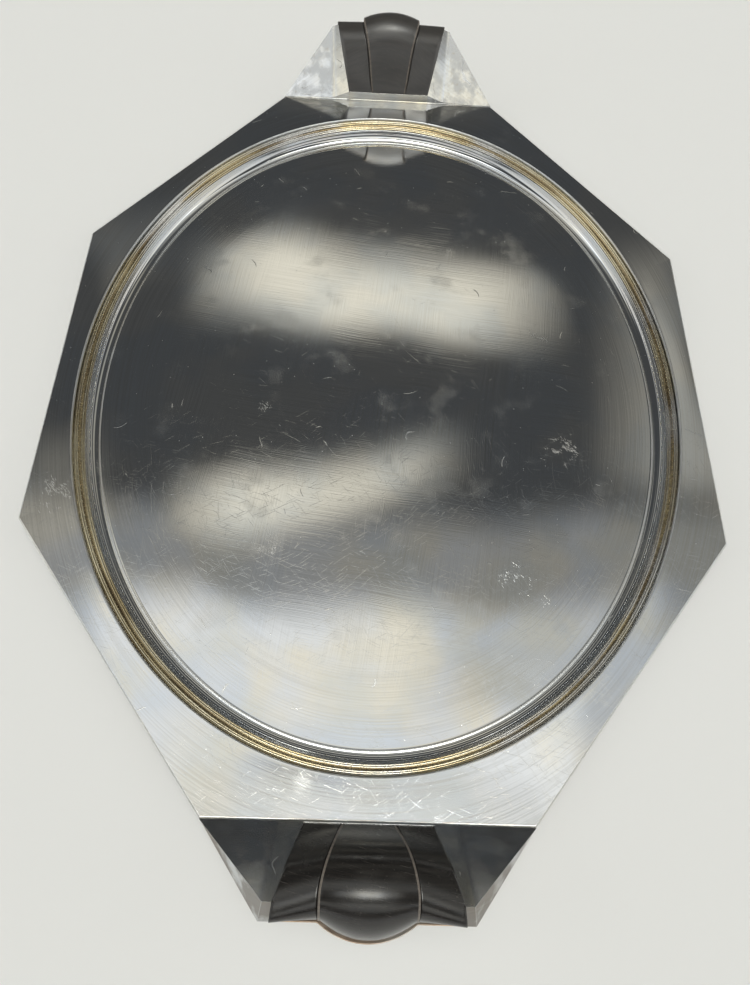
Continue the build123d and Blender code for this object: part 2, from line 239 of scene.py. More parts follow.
def build_tray(materials):
    """The pressed sheet, upper and lower faces, with its turned-down edge."""
    silver, worn = 0, 1
    rings, slots = [], []

    def add_ring(line, z, slot=silver):
        rings.append(ring(line, z))
        slots.append(slot)

    floor_line = mouth_line + inward * (LEDGE_WIDTH + COVE_RADIUS)

    def floor_ring(share, drop):
        line = floor_line * share
        most = FLOOR_WAVE * min(1, FLOOR_WAVE_FADE * (1 - share))
        rise = [most * hand_wave(p.real, p.imag, FLOOR_WAVE_LENGTH, FLOOR_WAVE_SEED) for p in line]
        return line, np.array(rise) - WELL_DEPTH - drop

    def rim_ring(share, drop):
        line = rim_start + (outline(EDGE_ROUND) - rim_start) * share
        most = RIM_WAVE * (4 * share * (1 - share))
        sink = [most * hand_wave(p.real, p.imag, RIM_WAVE_LENGTH, RIM_WAVE_SEED) for p in line]
        return line, -np.array(sink) - drop

    # underside of the floor, cove and rim
    for share in FLOOR_SHARES:
        add_ring(*floor_ring(share, SHEET))
    for x, z in reversed(well_profile(SHEET)):
        on_wall = -WELL_DEPTH < z < -SHEET - MOUTH_ROUND
        add_ring(mouth_line + inward * (x - SHEET * on_wall), z)
    for share in UNDER_SHARES:
        add_ring(*rim_ring(share, SHEET))
    # turned-down edge, which stops where the handles stand
    on_end = abs(edge_line.imag) > RIM_Y - SAME_LINE
    at_handle = (abs(edge_line.real) < END_HALF - SHEET) & on_end
    lip = np.where(at_handle, 0, LIP_DEPTH)
    add_ring(outline(SHEET), -SHEET)
    add_ring(outline(SHEET), -SHEET - lip)
    add_ring(outline(LIP_CHAMFER), -SHEET - lip, worn)
    add_ring(outline(0), -SHEET - lip + LIP_CHAMFER, worn)
    add_ring(outline(0), -EDGE_ROUND - EDGE_BAND, worn)
    for x, z in arc((EDGE_ROUND, -EDGE_ROUND), EDGE_ROUND, 180, 90, EDGE_STEPS):
        add_ring(outline(x), z, worn)
    slots[-1] = silver
    # upper face of the rim, well and floor
    for share in RIM_SHARES:
        add_ring(*rim_ring(share, 0))
    for index, (x, z) in enumerate(well_profile(0)):
        add_ring(mouth_line + inward * x, z, worn if 1 <= index <= MOUTH_STEPS else silver)
    cove_end = LEDGE_WIDTH + COVE_RADIUS
    for x, z in BEAD_PROFILE:
        add_ring(mouth_line + inward * (cove_end + x), z - WELL_DEPTH, worn)
    # a ring's slot is for the band that starts there, so the bead's wear starts at the cove's last ring
    slots[-1], slots[-4] = silver, worn
    for share in reversed(FLOOR_SHARES):
        add_ring(*floor_ring(share, 0))
    count = len(edge_line)
    points = [point for one in rings for point in one]
    faces = ring_faces(len(rings), count, slots)
    faces.append((tuple(range(count)), silver))
    faces.append((tuple(range(len(points) - count, len(points))), silver))
    return piece("tray_plate_skin", points, faces, materials)


# ---- reeded border ----
def build_border(materials):
    """Two reeds, a hollow and two more reeds down the slope inside the mouth."""
    reed, hollow, groove = 0, 1, 2
    top, toe = np.array(BORDER_TOP), np.array(BORDER_TOE)
    slope = (toe - top) / np.linalg.norm(toe - top)
    outward = np.array((-slope[1], slope[0]))
    hollow_width = np.linalg.norm(toe - top) - 4 * REED_WIDTH
    profile = [((BORDER_GAP, top[1] - BORDER_BACK), reed)]
    profile.append(((top[0] - BORDER_ROUND[0], top[1] - BORDER_ROUND[1]), reed))
    start = top
    bands = [(REED_WIDTH, REED_RISE, reed)] * 2
    bands = bands + [(hollow_width, -HOLLOW_SINK, hollow)] + bands
    for width, rise, slot in bands:
        radius = (width**2 / 4 + rise**2) / (2 * rise)
        middle = start + slope * width / 2 + outward * (rise - radius)
        spread = np.arcsin(width / 2 / abs(radius))
        for step in range(REED_STEPS):
            angle = spread * (2 * step / REED_STEPS - 1)
            point = middle + slope * abs(radius) * sin(angle) + outward * radius * cos(angle)
            deep = slot == reed and step in (0, REED_STEPS - 1)
            profile.append((tuple(point), groove if deep else slot))
        start = start + slope * width
    profile.append((tuple(toe), groove))
    profile.append(((toe[0], -LEDGE_DEPTH + BORDER_LIFT), groove))
    rings = [ring(mouth_line + inward * x, z) for (x, z), _ in profile]
    points = [point for one in rings for point in one]
    faces = ring_faces(len(rings), len(edge_line), [slot for _, slot in profile])
    return piece("reeded_border_skin", points, faces, materials)


# ---- handles ----
def placed(points, end):
    """Points of the handle's frame, put at the back (1) or turned round to the front (-1)."""
    return [(end * x, end * (RIM_Y + u), RIM_TOP + z) for x, u, z in points]


def under(u):
    """Height of the underplate's upper face at reach u."""
    return PLATE_SLOPE * u - SHEET


def between(a, b, share):
    """Point at that share of the way from a to b."""
    return tuple(p + (q - p) * share for p, q in zip(a, b))


def horn_planes(x, u):
    """Heights of a horn's wing and of its strip beside the wood."""
    tip_x, tip_u, tip_z = HORN_TIP_OUTER
    wing_x = -WING_RISE / END_HALF
    wing_u = (tip_z - WING_RISE - wing_x * tip_x) / tip_u
    strip_x = (tip_z - HORN_TIP_INNER[2]) / (tip_x - HORN_TIP_INNER[0])
    strip_u = (HORN_TIP_INNER[2] - WOOD_FOOT[2] - strip_x * (HORN_TIP_INNER[0] - WOOD_FOOT[0])) / tip_u
    wing = WING_RISE + wing_x * x + wing_u * u
    return wing, WOOD_FOOT[2] + strip_x * (x - WOOD_FOOT[0]) + strip_u * u


def horn_height(x, u):
    """Top of a horn: its wing and its strip, blended at the crease."""
    wing, strip = horn_planes(x, u)
    near = max(CREASE_BLEND - abs(wing - strip), 0) / CREASE_BLEND
    return max(wing, strip) + CREASE_BLEND * near**2 / 4


def block(top, bottom, slot, wall):
    """Points and faces of a closed block between two grids.

    Its top, its bottom and the wall at its first row are in slot, and its other three walls in wall.
    """
    rows, columns = len(top), len(top[0])
    points = [p for row in top for p in row] + [p for row in bottom for p in row]
    half = rows * columns
    faces = []

    def at(row, column, layer):
        return layer * half + row * columns + column

    for layer in (0, 1):
        for r in range(rows - 1):
            for c in range(columns - 1):
                corners = ((r, c), (r, c + 1), (r + 1, c + 1), (r + 1, c))
                faces.append((tuple(at(row, column, layer) for row, column in corners), slot))
    for r in range(rows - 1):
        for c in (0, columns - 1):
            faces.append(((at(r, c, 0), at(r + 1, c, 0), at(r + 1, c, 1), at(r, c, 1)), wall))
    for c in range(columns - 1):
        for r, end_slot in ((0, slot), (rows - 1, wall)):
            faces.append(((at(r, c, 0), at(r, c + 1, 0), at(r, c + 1, 1), at(r, c, 1)), end_slot))
    return points, faces


def joined(parts):
    """Several (points, faces) as one."""
    points, faces = [], []
    for some_points, some_faces in parts:
        shift = len(points)
        points += some_points
        faces += [(tuple(shift + corner for corner in corners), slot) for corners, slot in some_faces]
    return points, faces


def horn(side, rows=24, columns=36):
    """One horn as a block: the blended sail on top and the underplate's slope below."""
    corner, corner_foot = (END_HALF, 0, 0), (END_HALF, 0, under(0))
    foot_corner = (FOOT_HALF, FOOT_REACH, under(FOOT_REACH))
    corner_inner = (WOOD_FOOT[0], 0, under(0))
    foot_inner = (FOOT_INNER, FOOT_REACH, under(FOOT_REACH))
    top, bottom = [], []
    for r in range(rows + 1):
        t = r / rows
        outer, inner = between(corner, HORN_TIP_OUTER, t), between(WOOD_FOOT, HORN_TIP_INNER, t)
        outer_foot = between(corner_foot, foot_corner, t)
        inner_foot = between(corner_inner, foot_inner, t)
        top_row, bottom_row = [], []
        for c in range(columns + 1):
            x, u, _ = between(outer, inner, c / columns)
            top_row.append((side * x, u, horn_height(x, u)))
            x, u, z = between(outer_foot, inner_foot, c / columns)
            bottom_row.append((side * x, u, z))
        top.append(top_row)
        bottom.append(bottom_row)
    points, faces = block(top, bottom, WING, WALL)
    for index in range(rows * columns):
        corners = faces[index][0]
        x, u = np.mean([points[corner][:2] for corner in corners], axis=0)
        wing, strip = horn_planes(abs(x), u)
        if strip > wing:
            faces[index] = (corners, STRIP)
    return points, faces


def riser():
    """Low wall that joins the horns in front of the wood."""
    half = WOOD_FOOT[0] + RISER_LAP
    grid_top = [[(x, u, WOOD_FOOT[2]) for x in (-half, half)] for u in (0, RISER_EDGE)]
    grid_bottom = [[(x, u, under(0)) for x in (-half, half)] for u in (0, RISER_EDGE)]
    return block(grid_top, grid_bottom, STRIP, STRIP)


def build_bracket(end, name, materials):
    """Both horns and the riser of one handle."""
    points, faces = joined([horn(1), horn(-1), riser()])
    return piece(name, placed(points, end), faces, materials, bevel=ARRIS, bevel_slot=ARRIS_WORN)


def build_underplate(end, name, materials):
    """Sloped plate under a handle and its lap under the rim."""
    end_centre = CENTRE_END - CENTRE_END_RADIUS
    end_radius = CENTRE_END_RADIUS + PLATE_MARGIN
    spread = np.degrees(np.arcsin((FOOT_REACH - end_centre) / end_radius))
    curve = arc((0, end_centre), end_radius, spread, 180 - spread, PLATE_STEPS)
    lap_half = END_HALF - LAP_INSET
    corners = [(-lap_half, 0), (lap_half, 0), (END_HALF, 0), (FOOT_HALF, FOOT_REACH)]
    corners += curve + [(-FOOT_HALF, FOOT_REACH), (-END_HALF, 0)]
    flat = len(corners)
    lap = [(lap_half, -PLATE_LAP), (-lap_half, -PLATE_LAP)]
    slope_length = sqrt(1 + PLATE_SLOPE**2)
    points = []
    for drop in (0, SHEET):
        points += [(x, u, under(u) - drop * (slope_length if u > 0 else 1)) for x, u in corners]
        points += [(x, u, -SHEET - drop) for x, u in lap]
    layer = flat + 2
    faces = []
    for base, slot in ((0, 1), (layer, 0)):
        faces.append((tuple(base + i for i in range(flat)), slot))
        faces.append(((base, base + 1, base + flat, base + flat + 1), slot))
    border = list(range(1, flat)) + [0]
    for a, b in zip(border, border[1:]):
        faces.append(((a, b, layer + b, layer + a), 1))
    for a, b in ((1, flat), (flat, flat + 1), (flat + 1, 0)):
        faces.append(((a, b, layer + b, layer + a), 1))
    return piece(name, placed(points, end), faces, materials, bevel=ARRIS, bevel_slot=1)


def waist(u):
    """Half the width of the centre lobe at reach u."""
    if u >= FULL_REACH:
        return CENTRE_FULL
    base, middle, full = (0, CENTRE_BASE), (WAIST_REACH, CENTRE_WAIST), (FULL_REACH, CENTRE_FULL)
    share = u / FULL_REACH
    bulge = middle[1] - (base[1] + (full[1] - base[1]) * middle[0] / full[0])
    return base[1] + (full[1] - base[1]) * share + bulge * 4 * share * (1 - share)


def wood_line(u):
    """Half the width over the side lobes at reach u."""
    if u <= HORN_REACH:
        return WOOD_FOOT[0] + (HORN_TIP_INNER[0] - WOOD_FOOT[0]) * u / HORN_REACH
    share = (u - HORN_REACH) / (FOOT_REACH - HORN_REACH)
    return HORN_TIP_INNER[0] + (FOOT_INNER - HORN_TIP_INNER[0]) * share


def hermite(a, tangent_a, b, tangent_b, t):
    """Point of a cubic curve with given ends and end tangents."""
    a, b, ta, tb = map(np.array, (a, b, tangent_a, tangent_b))
    return (
        (2 * t**3 - 3 * t**2 + 1) * a
        + (t**3 - 2 * t**2 + t) * ta
        + (3 * t**2 - 2 * t**3) * b
        + (t**3 - t**2) * tb
    )


def grip_profile(lean, crest, end_reach, steps=26):
    """Reach and height along a lobe: up the leaning face, over the crest and down the outer end."""
    start, end = (RISER_EDGE, WOOD_FOOT[2]), (end_reach, under(end_reach))
    first = (RISE_PULL * cos(radians(lean)), RISE_PULL * sin(radians(lean)))
    last = (FALL_PULL * cos(radians(LEAN_END)), -FALL_PULL * sin(radians(LEAN_END)))
    front = [hermite(start, first, crest, (RISE_PULL, 0), s / steps) for s in range(steps)]
    return front + [hermite(crest, (FALL_PULL, 0), end, last, s / steps) for s in range(steps + 1)]


def lobe(columns, slots, name, end, materials):
    """A closed lobe of wood from its columns of points, each from the riser to the outer foot."""
    rows = len(columns[0])
    width = len(columns)
    points = [p for column in columns for p in column]
    faces = []
    for c in range(width - 1):
        for r in range(rows - 1):
            corners = (c * rows + r, c * rows + r + 1, (c + 1) * rows + r + 1, (c + 1) * rows + r)
            faces.append((corners, slots[c]))
    # straight down to the underplate on every side, and closed below
    foot = len(points)
    border = [c * rows for c in range(width)]
    border += [(width - 1) * rows + r for r in range(1, rows)]
    border += [c * rows + rows - 1 for c in range(width - 2, -1, -1)]
    border += [r for r in range(rows - 2, 0, -1)]
    for index in border:
        x, u, z = points[index]
        points.append((x, u, min(z, under(u))))
    size = len(border)
    for step in range(size):
        after = (step + 1) % size
        faces.append(((border[step], border[after], foot + after, foot + step), 0))
    faces.append((tuple(range(foot, foot + size)), 0))
    return piece(name, placed(points, end), faces, materials)


def build_centre(end, name, materials):
    """Proud middle lobe with softly worn arrises, lighter partly from wear and partly as a painted
    glint.
    """
    wood, worn = 0, 1
    turns = [radians(90 * step / ROUND_STEPS) for step in range(ROUND_STEPS)]
    edge = [(LOBE_ROUND * (1 - cos(turn)), LOBE_ROUND * (1 - sin(turn))) for turn in turns]
    columns = [centre_column(-1, inset, drop) for inset, drop in edge]
    columns += [centre_column(share, LOBE_ROUND, 0) for share in np.linspace(-1, 1, CROWN_STEPS + 1)]
    columns += [centre_column(1, inset, drop) for inset, drop in reversed(edge)]
    # the arrises' lighter material is partly wear and partly a painted glint
    slots = [worn] * ROUND_STEPS + [wood] * CROWN_STEPS + [worn] * ROUND_STEPS
    return lobe(columns, slots, name, end, materials)


def centre_column(share, inset, drop):
    """Column of the centre lobe at that share of its half width, set in and lowered at its edge."""
    across = share * CENTRE_FULL
    crest = (CREST_REACH, CREST_HEIGHT - CREST_CROWN * share**2)
    reach = CENTRE_END - CENTRE_END_RADIUS + sqrt(CENTRE_END_RADIUS**2 - across**2)
    column = []
    for u, z in grip_profile(LEAN_CENTRE, crest, reach):
        half = waist(u) - inset
        column.append((share * half, u, max(z - drop, under(u))))
    return column


def build_side(end, side, name, materials):
    """Lower lobe between the centre lobe and a horn."""
    columns = []
    inner_height = CREST_HEIGHT - CREST_CROWN - STEP_HEIGHT
    for share in np.linspace(0, 1, SIDE_COLUMNS):
        lean = LEAN_CENTRE + (LEAN_SIDE - LEAN_CENTRE) * (LEAN_START + LEAN_MORE * share)
        crest_reach = CREST_REACH + (SIDE_CREST_REACH - CREST_REACH) * share
        crest = (crest_reach, inner_height + (SIDE_CREST_HEIGHT - inner_height) * share)
        column = []
        for u, z in grip_profile(lean, crest, FOOT_REACH - PLATE_MARGIN):
            inner, outer = waist(u) + SEAM, wood_line(u) - WOOD_GAP
            column.append((side * (inner + (outer - inner) * share), u, z))
        columns.append(column)
    return lobe(columns, [0] * len(columns), name, end, materials)


# ---- material helpers ----
def shader_tree(name):
    """New node material: its tree and its Principled shader."""
    material = bpy.data.materials.new(name)
    material.use_nodes = True
    return material, material.node_tree, material.node_tree.nodes["Principled BSDF"]


def node(tree, kind, inputs=None, **settings):
    """A node of that kind with its settings, and values or links on its inputs."""
    made = tree.nodes.new("ShaderNode" + kind)
    for key, value in settings.items():
        setattr(made, key, value)
    for key, value in (inputs or {}).items():
        if isinstance(value, bpy.types.NodeSocket):
            tree.links.new(value, made.inputs[key])
        else:
            made.inputs[key].default_value = value
    return made


def maths(tree, operation, first, second=0.0):
    """Result of one calculation."""
    return node(tree, "Math", {0: first, 1: second}, operation=operation).outputs[0]


def times(tree, *values):
    """Product of several values."""
    total = values[0]
    for value in values[1:]:
        total = maths(tree, "MULTIPLY", total, value)
    return total


def added(tree, *values):
    """Sum of several values."""
    total = values[0]
    for value in values[1:]:
        total = maths(tree, "ADD", total, value)
    return total


def vector(tree, operation, first, second):
    """Result of one vector calculation; SCALE takes a number as its second value."""
    key = "Scale" if operation == "SCALE" else 1
    return node(tree, "VectorMath", {0: first, key: second}, operation=operation).outputs["Vector"]


def ramp(tree, value, low, high, to_low=0.0, to_high=1.0):
    """Value mapped smoothly from low..high to to_low..to_high, and level beyond them."""
    inputs = {"Value": value, "From Min": low, "From Max": high, "To Min": to_low, "To Max": to_high}
    return node(tree, "MapRange", inputs, interpolation_type="SMOOTHSTEP").outputs["Result"]


def spread_over(tree, fac, low, high):
    """Noise brought to a range from low to high."""
    return ramp(tree, fac, NOISE_LOW, NOISE_HIGH, low, high)


def band(tree, value, low, high, soft):
    """1 between low and high, falling to 0 over soft on either side of each."""
    rising = ramp(tree, value, low - soft, low + soft)
    return times(tree, rising, ramp(tree, value, high + soft, high - soft))


def mixed(tree, share, first, second):
    """Colour between two colours."""
    inputs = {"Factor": share, "A": first, "B": second}
    return node(tree, "Mix", inputs, data_type="RGBA").outputs["Result"]


def millimetres(tree):
    """The point on the object, in millimetres."""
    return vector(tree, "SCALE", node(tree, "TexCoord").outputs["Object"], 1 / MM)


def noise_at(tree, where, detail=1.0):
    """Noise whose features are about one unit across."""
    return node(tree, "TexNoise", {"Vector": where, "Scale": 1.0, "Detail": detail}).outputs["Fac"]


def grain(tree, where, size, detail=2.0):
    """Noise from about 0.25 to 0.75 whose features are about size across."""
    return node(tree, "TexNoise", {"Vector": where, "Scale": 1 / size, "Detail": detail}).outputs["Fac"]


def stretched(tree, where, angle, length, width, bend=0.0, offset=0.0):
    """Coordinates in which noise makes strokes of that length and width at that angle."""
    if bend:
        wobble = node(tree, "TexNoise", {"Vector": where, "Scale": 1 / BEND_SIZE, "Detail": 1.0})
        where = vector(tree, "ADD", where, vector(tree, "SCALE", wobble.outputs["Color"], bend))
    inputs = {"Vector": where, "Angle": radians(angle)}
    turned = node(tree, "VectorRotate", inputs, rotation_type="Z_AXIS")
    inputs = {"Vector": turned.outputs[0], "Location": (offset, offset, 0)}
    inputs["Scale"] = (1 / length, 1 / width, 1 / length)
    return node(tree, "Mapping", inputs).outputs[0]


def oval(tree, where, length, width):
    """Coordinates in which noise makes arcs of that length and width round the well.

    The second result is the share of the way from the well's middle to its mouth.
    """
    flat = vector(tree, "MULTIPLY", where, (1 / MOUTH_X, 1 / MOUTH_Y, 0))
    along = vector(tree, "SCALE", vector(tree, "NORMALIZE", flat, (0, 0, 0)), MOUTH_Y / length)
    outward = node(tree, "VectorMath", {0: flat}, operation="LENGTH").outputs["Value"]
    across = node(tree, "CombineXYZ", {2: times(tree, outward, MOUTH_Y / width)}).outputs[0]
    return vector(tree, "ADD", along, across), outward


def strokes(tree, where, angle, length, width, bend, offset, cover):
    """Mask of fine scratches; cover from 0 to 1, or a mask of it, says how many there are."""
    value = noise_at(tree, stretched(tree, where, angle, length, width, bend, offset))
    edge = maths(tree, "SUBTRACT", STROKE_LEVEL, times(tree, cover, STROKE_COVER))
    return ramp(tree, value, edge, added(tree, edge, STROKE_FADE))


def curls(tree, where, size, thin, keep):
    """Short curved scratches along the level lines of a soft noise."""
    level = maths(tree, "ABSOLUTE", maths(tree, "SUBTRACT", grain(tree, where, size, 1.0), 0.5))
    line = ramp(tree, level, thin, thin / 3)
    return times(tree, line, ramp(tree, grain(tree, where, CURL_LENGTH, 1.0), keep, keep + CURL_FADE))


def specks(tree, where, spacing, radius):
    """Tiny round pits, about one for each square of that spacing."""
    cells = node(tree, "TexVoronoi", {"Vector": where, "Scale": 1 / spacing}).outputs["Distance"]
    reach = radius / spacing
    return ramp(tree, cells, reach, reach / 2)


def finish(tree, shader, colour, rough, height, strength):
    """Link a colour, a roughness and a fine relief to a shader."""
    bump = node(tree, "Bump", {"Strength": strength, "Distance": RELIEF, "Height": height})
    tree.links.new(colour, shader.inputs["Base Color"])
    tree.links.new(rough, shader.inputs["Roughness"])
    tree.links.new(bump.outputs[0], shader.inputs["Normal"])


# ---- materials ----
NOISE_LOW, NOISE_HIGH = 0.3, 0.7  # between which most of a noise lies
RELIEF = 0.03 * MM
BEND_SIZE = 60  # of the soft noise that bends strokes
STROKE_LEVEL, STROKE_COVER, STROKE_FADE = 0.82, 0.32, 0.08  # noise level, its drop at full cover, fade
CURL_LENGTH, CURL_FADE = 13, 0.05
# bands of the well, as shares of the way from the middle to the mouth
COVE_INSIDE, COVE_OUTSIDE, COVE_FADE = 0.93, 1.008, 0.008
ARCS_START, ARCS_FULL = 0.62, 0.92  # where polishing goes over into arcs round the well
SILVER, SILVER_COOL = (0.80, 0.79, 0.765, 1), (0.70, 0.725, 0.75, 1)
SILVER_DULL, TARNISH = (0.62, 0.61, 0.58, 1), (0.40, 0.34, 0.25, 1)
SILVER_GREY = (0.47, 0.475, 0.48, 1)
STRIP_CREAM, SOLDER = (0.84, 0.79, 0.66, 1), (0.60, 0.46, 0.38, 1)
WALL_BROWN, WALL_GREY = (0.20, 0.17, 0.14, 1), (0.28, 0.262, 0.24, 1)
CREAM, GOLD, BRONZE = (0.93, 0.85, 0.63, 1), (0.64, 0.53, 0.32, 1), (0.27, 0.205, 0.12, 1)
UMBER, UMBER_DARK = (0.17, 0.125, 0.08, 1), (0.06, 0.045, 0.03, 1)
COPPER, COPPER_DEEP = (0.80, 0.64, 0.50, 1), (0.60, 0.44, 0.32, 1)
EBONY, EBONY_PORE = (0.009, 0.008, 0.007, 1), (0.018, 0.015, 0.013, 1)
# the back grip's wood: the same ebony, lighter as a painted sheen
EBONY_PAINTED_SHEEN, PORE_PAINTED_SHEEN = (0.016, 0.014, 0.012, 1), (0.032, 0.027, 0.023, 1)
# the centre lobe's arrises: lighter partly from wear and partly as a painted glint of reflection
EBONY_WORN_AND_GLINT, PORE_WORN_AND_GLINT = (0.12, 0.10, 0.085, 1), (0.19, 0.165, 0.14, 1)
WOOD_DUST = (0.30, 0.27, 0.24, 1)
# worn patches on the well's floor and on the rim: x, y and radius in millimetres
WELL_PATCHES = (
    (106, -42, 19),
    (-58, -105, 12),
    (76, -119, 16),
    (93, -131, 11),
    (100, 43, 12),
    (-64, -22, 13),
)
RIM_PATCHES = ((-172, -84, 17), (-178, 6, 10))
PATCH_GRAIN, PATCH_COVER = 7, 0.60
PATCH_STROKES = ((38, 0), (12, 30), (64, 60), (50, 90))  # angle, and offset of the noise
PATCH_STROKE_LENGTH, PATCH_STROKE_WIDTH, PATCH_STROKE_BEND = 4, 0.26, 3
HAIR_RUNS = ((58, 16, 11), (20, 13, 47), (84, 18, 83), (-34, 12, 29))  # angle, length and offset
HAIR_WIDTH, HAIR_BEND = 0.35, 26
HAIR_COVER = (90.0, -120.0, 0.12, 0.46)  # y where they are few and y where they are many, and covers
PITS, FINE_PITS, HANDLE_PITS = (15, 0.34), (6.0, 0.26), (9, 0.3)  # spacing and radius
PIT_AREA, BLOTCH_SIZE, DIRT_SIZE = 23, 9, 3.5
TRAY_CURLS, HANDLE_CURLS = (38, 0.003, 0.64), (26, 0.004, 0.60)  # size, thinness and how many are kept
# solder line, and the dull band beside it: where each starts and is full, in from the rim's ends
JOINT_START, JOINT_FULL, DULL_START, DULL_FULL = 1.6, 0.5, 30.0, 4.0
TIP_PAINTED_DARK = (RIM_TOP + 15.0, RIM_TOP + 36.0, 0.0, 0.5)  # painted darkening up the horns, standing in for their dimmer reflection: heights, and shares
# polishing lines: their two angles, then their length, width and bend; and those round the well
POLISH_ANGLES, POLISH_LENGTH, POLISH_WIDTH, POLISH_BEND = (8, 97), 45, 0.45, 6
POLISH_ARC_LENGTH, POLISH_ARC_WIDTH = 60, 0.7
# sizes of clouds, of smudges, and of the areas polished in one direction
CLOUD_SIZE, SMUDGE_SIZE, POLISH_AREA = 60, 26, 48
# along the brass border: streaks and patches, by length and width, its pits, and how streaks shear
BRASS_STREAK, BRASS_PATCH, BRASS_PIT, STREAK_SHEAR = (42, 1000), (70, 1000), 1.4, 1.1
# of the wood: its pores by angle, length, width and bend, and its rubs by that, offset and cover
PORES, RUBS = (4, 14, 0.5, 6), (12, 9, 0.35, 4, 5, 0.45)
WAX_CLOUD, DUST_SIZE = 14, 1.1


def silver_base(tree, where, rough, bright):
    """Colour, roughness and relief of silver plate with soft clouds and fine polishing lines."""
    cloud = grain(tree, where, CLOUD_SIZE, 3)
    smudge = ramp(tree, grain(tree, where, SMUDGE_SIZE, 4), 0.54, 0.70)
    polish = (POLISH_LENGTH, POLISH_WIDTH, POLISH_BEND)
    lines = noise_at(tree, stretched(tree, where, POLISH_ANGLES[0], *polish))
    crossing = noise_at(tree, stretched(tree, where, POLISH_ANGLES[1], *polish, 40))
    turned = ramp(tree, grain(tree, where, POLISH_AREA), 0.42, 0.58)
    lines = node(tree, "Mix", {"Factor": turned, "A": lines, "B": crossing})
    arcs, outward = oval(tree, where, POLISH_ARC_LENGTH, POLISH_ARC_WIDTH)
    near_border = ramp(tree, outward, ARCS_START, ARCS_FULL)
    lines = node(tree, "Mix", {"Factor": near_border, "A": lines.outputs[0], "B": noise_at(tree, arcs)})
    cove = band(tree, outward, COVE_INSIDE, COVE_OUTSIDE, COVE_FADE)
    lines = node(tree, "Mix", {"Factor": cove, "A": lines.outputs[0], "B": 0.5}).outputs[0]
    colour = mixed(tree, ramp(tree, cloud, 0.40, 0.60), bright, SILVER_COOL)
    colour = mixed(tree, ramp(tree, lines, 0.35, 0.75, 0.0, 0.5), colour, SILVER_DULL)
    roughness = times(tree, spread_over(tree, cloud, 0.8, 1.2), rough)
    return colour, added(tree, roughness, times(tree, smudge, 0.08)), lines


def tray_material(name, rough):
    """Worn silver plate of the tray, with its patches of wear and the soldered joints' lines."""
    material, tree, shader = shader_tree(name)
    where = millimetres(tree)
    colour, roughness, lines = silver_base(tree, where, rough, SILVER)
    patches = []
    for places, level in ((WELL_PATCHES, SHEET), (RIM_PATCHES, RIM_TOP)):
        for x, y, radius in places:
            away = node(tree, "VectorMath", {0: where, 1: (x, y, level)}, operation="DISTANCE")
            patches.append(ramp(tree, away.outputs["Value"], radius, radius / 4))
    ragged = ramp(tree, grain(tree, where, PATCH_GRAIN, 3), 0.38, 0.60)
    patch = times(tree, added(tree, *patches), ragged)
    split = node(tree, "SeparateXYZ", {0: where})
    near_end = ramp(tree, split.outputs["Y"], *HAIR_COVER)
    cover = times(tree, patch, PATCH_COVER)
    stroke = (PATCH_STROKE_LENGTH, PATCH_STROKE_WIDTH, PATCH_STROKE_BEND)
    dense = [strokes(tree, where, angle, *stroke, offset, cover) for angle, offset in PATCH_STROKES]
    hair = [
        strokes(tree, where, angle, length, HAIR_WIDTH, HAIR_BEND, offset, near_end)
        for angle, length, offset in HAIR_RUNS
    ]
    pits = times(tree, specks(tree, where, *PITS), ramp(tree, grain(tree, where, PIT_AREA), 0.40, 0.52))
    pits = added(tree, pits, times(tree, specks(tree, where, *FINE_PITS), 0.6))
    patch_marks = times(tree, added(tree, *dense), 0.75)
    marks = added(tree, patch_marks, times(tree, added(tree, *hair), 0.15), pits)
    marks = added(tree, marks, times(tree, curls(tree, where, *TRAY_CURLS), 0.5))
    marks = node(tree, "Clamp", {"Value": marks}).outputs[0]
    roughness = added(tree, roughness, times(tree, marks, 0.40), times(tree, patch, 0.05))
    end_line = maths(tree, "ABSOLUTE", split.outputs["Y"])
    joint = ramp(tree, end_line, RIM_Y - JOINT_START, RIM_Y - JOINT_FULL)
    joint = times(tree, joint, ramp(tree, grain(tree, where, PATCH_GRAIN, 3), 0.35, 0.6))
    colour = mixed(tree, times(tree, joint, 0.8), colour, SOLDER)
    beside_joint = ramp(tree, end_line, RIM_Y - DULL_START, RIM_Y - DULL_FULL)
    roughness = added(tree, roughness, times(tree, beside_joint, 0.07))
    shader.inputs["Metallic"].default_value = 1.0
    finish(tree, shader, colour, roughness, added(tree, times(tree, lines, 0.35), marks), 0.8)
    return material


def silver_material(name, rough, bright, tint, mottle):
    """Silver plate of the handles and edges: clouds of the tint, denser up the horns as painted
    darkening, and scratches.
    """
    material, tree, shader = shader_tree(name)
    where = millimetres(tree)
    colour, roughness, lines = silver_base(tree, where, rough, bright)
    height = node(tree, "SeparateXYZ", {0: where}).outputs["Z"]
    # painted darkening up the horns, standing in for their dimmer reflection near the tips
    tip = ramp(tree, height, *TIP_PAINTED_DARK)
    blotch = added(tree, grain(tree, where, BLOTCH_SIZE, 4), times(tree, tip, 0.5))
    blotch = ramp(tree, blotch, 0.42, 0.62)
    edge_dirt = ramp(tree, grain(tree, where, DIRT_SIZE, 3), 0.58, 0.72)
    colour = mixed(tree, times(tree, blotch, mottle), colour, tint)
    colour = mixed(tree, times(tree, edge_dirt, 0.3 * mottle), colour, TARNISH)
    pits = times(tree, specks(tree, where, *HANDLE_PITS), 0.5)
    marks = added(tree, pits, curls(tree, where, *HANDLE_CURLS))
    marks = node(tree, "Clamp", {"Value": marks}).outputs[0]
    roughness = added(tree, roughness, times(tree, blotch, 0.12 * mottle), times(tree, marks, 0.25))
    shader.inputs["Metallic"].default_value = 1.0
    finish(tree, shader, colour, roughness, added(tree, times(tree, lines, 0.3), marks), 0.5)
    return material


